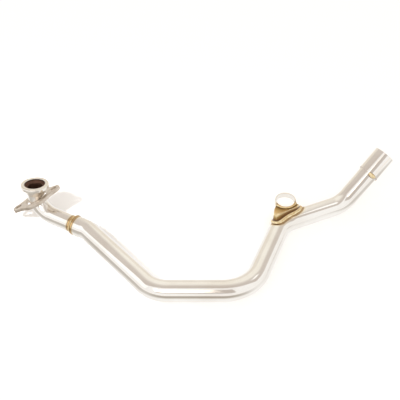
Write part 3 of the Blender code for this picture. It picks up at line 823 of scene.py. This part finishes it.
def evenTurns(count):
    samples = count * 12
    turns = [2 * pi * i / samples for i in range(samples + 1)]
    spots = [footPlace(turn) for turn in turns]
    run = [0.0]
    for before, after in zip(spots, spots[1:]):
        run.append(run[-1] + hypot(after[0] - before[0], (after[1] - before[1]) * tubes["pipeRadius"]))
    even, index = [], 0
    for i in range(count):
        target = run[-1] * (i + 0.5) / count
        while run[index + 1] < target:
            index += 1
        share = (target - run[index]) / (run[index + 1] - run[index])
        even.append(turns[index] + (turns[index + 1] - turns[index]) * share)
    return even


def pipeSkin(distance, angle, radius):
    point, travel = placeOn(distance)
    normal = upAxis * cos(angle) + upAxis.cross(travel).normalized() * sin(angle)
    return point + normal * radius, normal


def footEdge(turn, lift):
    radius = tubes["pipeRadius"] + lift
    point, normal = pipeSkin(*footPlace(turn), radius)
    ahead = pipeSkin(*footPlace(turn + gusset["turnStep"]), radius)[0]
    behind = pipeSkin(*footPlace(turn - gusset["turnStep"]), radius)[0]
    return point, normal, (ahead - behind).cross(normal).normalized()


def neckPoint(turn, lift):
    aside = bushAxis.cross(bushFacing)
    angle = radians(gusset["neckTurn"] + gusset["neckWrap"] * squared(cos(turn)))
    normal = bushFacing * cos(angle) + aside * sin(angle)
    rise = gusset["neckHeight"] / 2 * squared(sin(turn))
    return bushCentre + normal * (bush["radius"] + lift) + bushAxis * rise, normal


def gussetPoint(turn, share):
    foot, _, inward = footEdge(turn, gusset["fit"])
    travel = placeOn(footPlace(turn)[0])[1]
    endwise = travel * inward.dot(travel)
    neck, outward = neckPoint(turn, tubes["seamGap"])
    sideways = inward - endwise
    first = foot + sideways * (sideways.length * gusset["footFlare"]) + endwise * gusset["endFlare"]
    second = neck + outward * gusset["neckRun"]
    rest = 1 - share
    start = foot * rest ** 3 + first * (3 * rest ** 2 * share)
    return start + second * (3 * rest * share ** 2) + neck * share ** 3


def sheetNormal(turn, share):
    step = gusset["sheetStep"]
    along = gussetPoint(turn, min(share + step, 1.0)) - gussetPoint(turn, max(share - step, 0.0))
    ahead, behind = gussetPoint(turn + step, share), gussetPoint(turn - step, share)
    return along.cross(ahead - behind).normalized()


def makeGusset(turns):
    shares = [row / gusset["rows"] for row in range(gusset["rows"] + 1)]
    inner, outer = [], []
    for share in shares:
        innerRing = [gussetPoint(turn, share) for turn in turns]
        inner.append(innerRing)
        outer.append([p + sheetNormal(turn, share) * gusset["sheet"] for p, turn in zip(innerRing, turns)])
    mesh = skinRings("saddleGusset", outer + inner[::-1])
    storeFloats(mesh, "climb", [share for share in shares + shares[::-1] for _ in turns])
    outwardFaces(mesh)
    piece = newPiece("saddleGusset", mesh, sheetMaterial)
    smoothShade(piece, angle=45.0)
    return piece


footTurns = evenTurns(gusset["turns"])
saddleGusset = makeGusset(footTurns[::2])
print("gusset", len(saddleGusset.data.polygons))

# beads at the step, the saddle, the neck and the collar, and three tacks on the sleeve
weld = {
    "toe": 0.0034,  # reach on the lower surface
    "over": 0.0016,  # and on the upper one
    "crown": 0.0011,
    "stepCrown": 0.0006,
    "stepHeat": (-0.0022, -0.0002),  # heat rings, along the pipe from the step
    "neckBead": 0.0018,
    "collarRise": 0.0022,
    "crownSteps": 9,
    "peakBack": 0.15,
    "peakRise": 2.2,
    "neckBulge": 0.75,
    "collarBulge": 0.0012,
    "ringSections": 440,
    "saddleSections": 860,
    "tackSections": 90,
    "ripplePitch": 0.0015,
    "rippleDepth": 0.00035,
    "rippleBow": 0.55,
    "rippleLevel": 0.75,  # the part of a ripple's height that sinks in
    "tackSpan": 46.0,
    "tackSize": 1.45,
    "tackTip": 0.40,  # size at a tack's tips, of its size in the middle
    "tackTurns": (-57.0, 105.0, 195.0),  # degrees round the sleeve from its top
    "neckShare": 0.93,
    "lapShare": 0.05,
}


def crownArc(start, control, finish):
    steps = weld["crownSteps"] + 1
    return bentLine(start, control, finish, [step / steps for step in range(1, steps)])


def makeBead(name, rings, crownFrom, closed=True, material=beadMaterial):
    # rings: section points; those from crownFrom on are the shown crown
    count, shown = len(rings[0]), len(rings[0]) - crownFrom
    mesh = skinRings(name, rings, closed=closed, capped=not closed)
    middles = [sum(ring, Vector()) / count for ring in rings]
    along = [0.0]
    for before, after in zip(middles, middles[1:]):
        along.append(along[-1] + (after - before).length)
    whole = along[-1] + ((middles[0] - middles[-1]).length if closed else 0.0)
    pitch = whole / max(1, round(whole / weld["ripplePitch"]))
    lifts = [0.0] * crownFrom + [sin(pi * (i + 1) / (shown + 1)) for i in range(shown)]
    across = [0.0] * crownFrom + [2 * (i + 1) / (shown + 1) - 1 for i in range(shown)]
    storeFloats(mesh, "along", [a for a in along for _ in range(count)])
    storeFloats(mesh, "lift", lifts * len(rings))
    storeFloats(mesh, "across", across * len(rings))
    outwardFaces(mesh)
    piece = newPiece(name, mesh)
    runTree(piece, rippleNodes, {"Pitch": pitch, "Depth": weld["rippleDepth"], "Bow": weld["rippleBow"],
                                 "Level": weld["rippleLevel"], "Steel": material})
    smoothShade(piece, angle=60.0)
    return piece


def lapSection(low, high, toe, over, crown):
    gap = tubes["seamGap"]
    foot, shelf = low + gap, high + gap
    flat = [Vector((-toe, foot)), Vector((-gap, foot)), Vector((-gap, shelf)), Vector((over, shelf))]
    peak = Vector((-toe * weld["peakBack"], high + crown * weld["peakRise"]))
    return flat + crownArc(flat[3], peak, flat[0])


def lapBead(name, station, low, high, angles, sizes, closed, crown):
    point, travel = placeOn(station)
    side = upAxis.cross(travel).normalized()
    top = travel.cross(side)
    rings = []
    for angle, size in zip(angles, sizes):
        outward = top * cos(angle) + side * sin(angle)
        section = lapSection(low, high, weld["toe"] * size, weld["over"] * size, crown * size)
        rings.append([point + travel * x + outward * y for x, y in section])
    return makeBead(name, rings, crownFrom=4, closed=closed)


fullTurn = [2 * pi * i / weld["ringSections"] for i in range(weld["ringSections"])]
stepWeld = lapBead("stepWeld", stepStation, tubes["headerRadius"], tubes["pipeRadius"], fullTurn,
                   [1.0] * len(fullTurn), True, weld["stepCrown"])
sleeveTacks = []
shares = [i / weld["tackSections"] for i in range(weld["tackSections"] + 1)]
swells = [sqrt(max(sin(pi * share), 0.0)) for share in shares]
tackSizes = [weld["tackSize"] * (weld["tackTip"] + (1 - weld["tackTip"]) * swell) for swell in swells]
for number, middle in enumerate(weld["tackTurns"]):
    tackAngles = [radians(middle + weld["tackSpan"] * (share - 0.5)) for share in shares]
    sleeveTacks.append(lapBead("sleeveTack%d" % (number + 1), sleeveStation, tubes["pipeRadius"], sleeveOuter,
                               tackAngles, tackSizes, False, weld["crown"]))


def sheetFace(turn, share):
    return gussetPoint(turn, share) + sheetNormal(turn, share) * (gusset["sheet"] + tubes["seamGap"])


def makeSaddleWeld():
    rings = []
    for turn in evenTurns(weld["saddleSections"]):
        point, normal, inward = footEdge(turn, tubes["seamGap"])
        travel = placeOn(footPlace(turn)[0])[1]
        drop = weld["toe"] ** 2 * (1 - inward.dot(travel) ** 2) / (2 * tubes["pipeRadius"])
        toe = point - inward * weld["toe"] - normal * drop
        low = point - inward * tubes["seamGap"]
        edge = sheetFace(turn, 0.0) - inward * tubes["seamGap"]
        lap = sheetFace(turn, weld["lapShare"])
        control = edge + normal * (2 * weld["crown"]) - inward * weld["over"]
        rings.append([toe, low, edge, lap] + crownArc(lap, control, toe))
    return makeBead("saddleWeld", rings, crownFrom=4)


def makeNeckWeld():
    rings = []
    for turn in footTurns:
        corner, higher = sheetFace(turn, 1.0), sheetFace(turn, weld["neckShare"])
        climb = (higher - corner).normalized()
        normal = neckPoint(turn, 0.0)[1]
        ahead = neckPoint(turn + gusset["turnStep"], 0.0)[0]
        behind = neckPoint(turn - gusset["turnStep"], 0.0)[0]
        away = (ahead - behind).cross(normal).normalized()
        wallEnd, sheetEnd = corner + away * weld["neckBead"], corner + climb * weld["neckBead"]
        bulge = corner + (away + climb) * weld["neckBead"] * weld["neckBulge"]
        rings.append([corner, wallEnd] + crownArc(wallEnd, bulge, sheetEnd) + [sheetEnd])
    return makeBead("bushWeld", rings, crownFrom=1)


def makeCollarWeld():
    axis, across, aside = latheFrame(mouthAxis)
    wall = collar["boreRadius"] - tubes["seamGap"]
    seat = tubes["seamGap"] - tubes["collarSeat"]
    inner = headerInner + tubes["seamGap"]
    flat = [Vector((inner, seat)), Vector((wall, seat)), Vector((wall, seat + weld["collarRise"]))]
    bulge = Vector((inner + weld["collarBulge"], seat + weld["collarRise"]))
    section = flat + crownArc(flat[2], bulge, flat[0])
    rings = []
    for angle in fullTurn:
        outward = across * cos(angle) + aside * sin(angle)
        rings.append([corners[0] + outward * r + axis * h for r, h in section])
    return makeBead("collarWeld", rings, crownFrom=3, material=boreMaterial)


saddleWeld = makeSaddleWeld()
bushWeld = makeNeckWeld()
collarWeld = makeCollarWeld()
print("beads", len(saddleWeld.data.polygons), len(stepWeld.data.polygons))

# heat colours go by the distance from a bead
heated = {
    "halfBead": 0.0022,  # taken up by the bead itself
    "limit": 0.03,  # anything farther counts as this far
    "sources": 220,  # points round a heated ring
}


def heatSources():
    point, travel = placeOn(stepStation)
    _, across, aside = latheFrame(travel)
    sources = []
    for shift in weld["stepHeat"]:
        sources += circleRing(point + travel * shift, across, aside, tubes["pipeRadius"], heated["sources"])
    sources += [pipeSkin(*footPlace(turn), tubes["pipeRadius"])[0] for turn in footTurns]
    sources += [neckPoint(turn, 0.0)[0] for turn in evenTurns(heated["sources"])]
    return sources


def storeHeat(pieces):
    sources = heatSources()
    tree = KDTree(len(sources))
    for index, spot in enumerate(sources):
        tree.insert(spot, index)
    tree.balance()
    for piece in pieces:
        values = []
        for vertex in piece.data.vertices:
            distance = tree.find(vertex.co)[2]
            values.append(min(max(distance - heated["halfBead"], 0.0), heated["limit"]))
        storeFloats(piece.data, "fromWeld", values)


storeHeat([headerTube, mainPipe, tailSleeve, bushRing])
print("heat stored")

pieceRows = [
    (mouthCollar, "turned_stainless", "mouth_collar"), (collarWeld, "weld_bead", "collar_weld"),
    (flangePlate, "plate_stainless", "flange_plate"), (headerTube, "brushed_stainless", "header_tube"),
    (stepWeld, "weld_bead", "step_weld"), (mainPipe, "brushed_stainless", "main_pipe"),
    (saddleGusset, "heat_tinted_stainless", "saddle_gusset"), (saddleWeld, "weld_bead", "saddle_weld"),
    (bushRing, "turned_stainless", "bush_ring"), (bushWeld, "weld_bead", "bush_weld"),
    (tailSleeve, "turned_stainless", "tail_sleeve"), (sleeveTacks[0], "weld_bead", "sleeve_tack_3"),
    (sleeveTacks[1], "weld_bead", "sleeve_tack_1"), (sleeveTacks[2], "weld_bead", "sleeve_tack_2"),
]
for piece, slotName, nodeName in pieceRows:
    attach(piece, "root")
    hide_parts(nodeName)
print("pieces", len(pieceRows))

studio = {
    "floorHalf": 6.0,
    "floorColour": "f8f7f5",
    "floorRough": 0.6,
    "floorGlow": 0.33,  # tops the lit table up to white for the camera
    "mirrorGlow": 0.20,  # the same in the steel
    "dimPlace": (-0.20, 0.08, 0.0),
    "dimNear": 0.07,
    "dimFar": 0.20,
    "dimGlow": 0.13,
    "worldLight": 0.80,
    "worldColour": "fff8f1",
    "cameraPlace": (-0.0057, -0.7066, 0.6440),
    "cameraPitch": 38.3,
    "lens": 54.45,
    "sensor": 36.0,
}


def shownRays(tree):
    path = addNode(tree, "ShaderNodeLightPath").outputs
    mirrored = addNode(tree, "ShaderNodeMath", {0: path["Is Glossy Ray"], 1: path["Is Transmission Ray"]},
                       operation="MAXIMUM")
    return path["Is Camera Ray"], mirrored


def makeFloor():
    # the glow fades round the mouth, where the side lamp lights the table and the plate throws its shadow
    half = studio["floorHalf"]
    mesh = bpy.data.meshes.new("floor")
    edges = [(-half, -half, 0), (half, -half, 0), (half, half, 0), (-half, half, 0)]
    mesh.from_pydata(edges, [], [(0, 1, 2, 3)])
    material, tree, shader, place = newMaterial("whiteTable")
    feed(tree, shader, {"Metallic": 0.0, "Base Color": linearColour(studio["floorColour"]),
                        "Roughness": studio["floorRough"], "Specular IOR Level": 0.0})
    seen, mirrored = shownRays(tree)
    away = addNode(tree, "ShaderNodeVectorMath", {0: place, 1: studio["dimPlace"]}, operation="DISTANCE")
    fade = {"Value": away.outputs["Value"], "From Min": studio["dimNear"], "From Max": studio["dimFar"],
            "To Min": studio["dimGlow"], "To Max": studio["floorGlow"]}
    topUp = addNode(tree, "ShaderNodeMapRange", fade, interpolation_type="SMOOTHSTEP")
    mirrorGlow = addNode(tree, "ShaderNodeMath", {0: mirrored, 1: studio["mirrorGlow"]}, operation="MULTIPLY")
    glow = addNode(tree, "ShaderNodeMath", {0: seen, 1: topUp, 2: mirrorGlow}, operation="MULTIPLY_ADD")
    shine = addNode(tree, "ShaderNodeEmission", {"Strength": glow})
    both = addNode(tree, "ShaderNodeAddShader", {0: shader, 1: shine})
    feed(tree, tree.nodes["Material Output"], {"Surface": both})
    floor = newPiece("floor", mesh, material)


def makeWorld():
    world = bpy.data.worlds.new("studioWorld")
    bpy.context.scene.world = world
    world.use_nodes = True
    tree = world.node_tree
    light = tree.nodes["Background"]
    feed(tree, light, {"Color": linearColour(studio["worldColour"]), "Strength": studio["worldLight"]})
    white = addNode(tree, "ShaderNodeBackground", {"Color": (1, 1, 1, 1)})
    seen, mirrored = shownRays(tree)
    shown = addNode(tree, "ShaderNodeMath", {0: seen, 1: mirrored}, operation="MAXIMUM")
    mix = addNode(tree, "ShaderNodeMixShader", {0: shown, 1: light, 2: white})
    feed(tree, tree.nodes["World Output"], {"Surface": mix})


# flat cards: a corner and two edges in metres, colour, glow
cards = {
    "roomCard": ((-1.2, -1.75, 0.60), (2.15, 0.0, 0.0), (0.0, 0.0, 1.9), "ccc4be", 1.0),
    "backCard": ((-2.6, 2.3, 0.0), (5.2, 0.0, 0.0), (0.0, 0.0, 1.35), "f0eadf", 1.0),
    "leftBox": ((-1.4, -0.85, 0.40), (0.0, 1.03, 0.0), (0.0, 0.0, 0.95), "ffffff", 1.18),
    "rightBox": ((0.84, 0.00, 1.24), (0.30, 0.0, 0.0), (0.0, 0.40, 0.0), "ffffff", 1.18),
}
ceiling = {
    "low": (-2.4, -0.50),
    "high": (2.4, 2.3),
    "height": 1.3,
    "cells": (44, 30),
    "blend": (-0.25, 0.70),  # dark in front, pale behind
    "middle": 0.1,
    "sideBlend": (0.3, 0.9),
    "sideDepth": 0.85,
    "colours": ("d1c8c1", "fbf8f0"),
}
# the table as the steel sees it, by distance from the tube's centre line: pale, dimmer, white again
tableShade = {
    "low": (-0.66, -0.48),
    "high": (0.66, 0.48),
    "height": 0.0004,
    "cells": (150, 110),
    "lineStops": 300,
    "near": 0.030,
    "full": 0.050,
    "fade": 0.110,
    "end": 0.260,
    "colours": ("ffffff", "b1a99e"),
    "frontBlend": (-0.125, -0.085),
    "leftBlend": (-0.15, -0.05),
    "rearBlend": (0.05, 0.08, 0.22, 0.26),
    "sideBlend": 0.012,
    "plainDepth": 0.55,
    "leftDepth": 0.20,
    "rearLoss": 0.45,
    "leftNearer": 0.016,
    "leftFuller": 0.008,
}


def smoothStep(value, low, high):
    share = min(max((value - low) / (high - low), 0.0), 1.0)
    return share * share * (3 - 2 * share)


def addCard(name, points, faces, tones, colours, glow):
    # only the steel sees a card, and it neither lights nor shades
    mesh = bpy.data.meshes.new(name)
    mesh.from_pydata(points, [], faces)
    storeFloats(mesh, "tone", tones)
    material = bpy.data.materials.new(name)
    material.use_nodes = True
    tree = material.node_tree
    tree.nodes.remove(tree.nodes["Principled BSDF"])
    share = addNode(tree, "ShaderNodeAttribute", attribute_name="tone").outputs["Fac"]
    first, second = (linearColour(colour) for colour in colours)
    colour = addNode(tree, "ShaderNodeMix", {0: share, 6: first, 7: second}, data_type="RGBA").outputs[2]
    shine = addNode(tree, "ShaderNodeEmission", {"Color": colour, "Strength": glow})
    feed(tree, tree.nodes["Material Output"], {"Surface": shine})
    card = newPiece(name, mesh, material)
    card.visible_camera = card.visible_diffuse = card.visible_shadow = False
    card.visible_transmission = False


def addTonedCard(name, sizes, toneAt):
    columns, rows = sizes["cells"]
    (west, south), (east, north) = sizes["low"], sizes["high"]
    spots = [(west + (east - west) * i / columns, south + (north - south) * j / rows)
             for j in range(rows + 1) for i in range(columns + 1)]
    starts = [j * (columns + 1) + i for j in range(rows) for i in range(columns)]
    faces = [(first, first + 1, first + columns + 2, first + columns + 1) for first in starts]
    addCard(name, [(x, y, sizes["height"]) for x, y in spots], faces, [toneAt(x, y) for x, y in spots],
            sizes["colours"], 1.0)


def makeCards():
    for name, (corner, along, upward, colour, glow) in cards.items():
        corner, along, upward = Vector(corner), Vector(along), Vector(upward)
        points = [corner, corner + along, corner + along + upward, corner + upward]
        addCard(name, points, [(0, 1, 2, 3)], [0.0] * 4, (colour, colour), glow)


def makeCeiling():
    def toneAt(x, y):
        sides = smoothStep(abs(x - ceiling["middle"]), *ceiling["sideBlend"])
        return smoothStep(y, *ceiling["blend"]) * (1 - ceiling["sideDepth"] * sides)

    addTonedCard("ceilingCard", ceiling, toneAt)


def makeTableShade():
    stops = tableShade["lineStops"]
    line = KDTree(stops + 1)
    for index in range(stops + 1):
        spot = placeOn(routeLength * index / stops)[0]
        line.insert((spot.x, spot.y, 0.0), index)
    line.balance()

    def toneAt(x, y):
        nearest, _, away = line.find((x, y, 0.0))
        front = 1 - smoothStep(nearest.y, *tableShade["frontBlend"])
        left = 1 - smoothStep(nearest.x, *tableShade["leftBlend"])
        enter, inside, leave, outside = tableShade["rearBlend"]
        rear = smoothStep(nearest.x, enter, inside) * (1 - smoothStep(nearest.x, leave, outside))
        plain = tableShade["plainDepth"] + tableShade["leftDepth"] * left - tableShade["rearLoss"] * rear
        deep = max(front, plain) * smoothStep(nearest.y - y, 0.0, tableShade["sideBlend"])
        nearer, fuller = tableShade["leftNearer"] * left, tableShade["leftFuller"] * left
        deep *= smoothStep(away, tableShade["near"] - nearer, tableShade["full"] - fuller)
        return deep * (1 - smoothStep(away, tableShade["fade"], tableShade["end"]))

    addTonedCard("shadeCard", tableShade, toneAt)


lamps = {
    "keyLamp": {"place": (-0.51, -1.25, 1.08), "target": (-0.51, 0.0, 0.0), "size": (1.10, 0.80),
                "power": 3.8, "colour": "fffdf6", "spread": 180.0, "mirrored": True},
    "sideLamp": {"place": (-0.50, -0.27, 0.56), "target": (-0.21, 0.07, 0.0), "size": (0.08, 0.08),
                 "power": 0.30, "colour": "fbfbff", "spread": 44.0, "mirrored": False},
}


def makeLamps():
    for name, sizes in lamps.items():
        lamp = bpy.data.lights.new(name, "AREA")
        lamp.shape, lamp.energy = "RECTANGLE", sizes["power"]
        lamp.size, lamp.size_y = sizes["size"]
        lamp.color, lamp.spread = linearColour(sizes["colour"])[:3], radians(sizes["spread"])
        holder = newPiece(name, lamp)
        holder.location = sizes["place"]
        facing = Vector(sizes["target"]) - Vector(sizes["place"])
        holder.rotation_euler = facing.to_track_quat("-Z", "Y").to_euler()
        holder.visible_glossy, holder.visible_camera = sizes["mirrored"], False


def makeCamera():
    lens = bpy.data.cameras.new("camera")
    lens.lens, lens.sensor_width = studio["lens"], studio["sensor"]
    holder = newPiece("camera", lens)
    holder.location = studio["cameraPlace"]
    holder.rotation_euler = (radians(90 - studio["cameraPitch"]), 0.0, 0.0)
    bpy.context.scene.camera = holder


makeFloor()
makeWorld()
makeCards()
makeCeiling()
makeTableShade()
makeLamps()
makeCamera()
bpy.context.scene.view_settings.view_transform = "Standard"
print("studio ready")
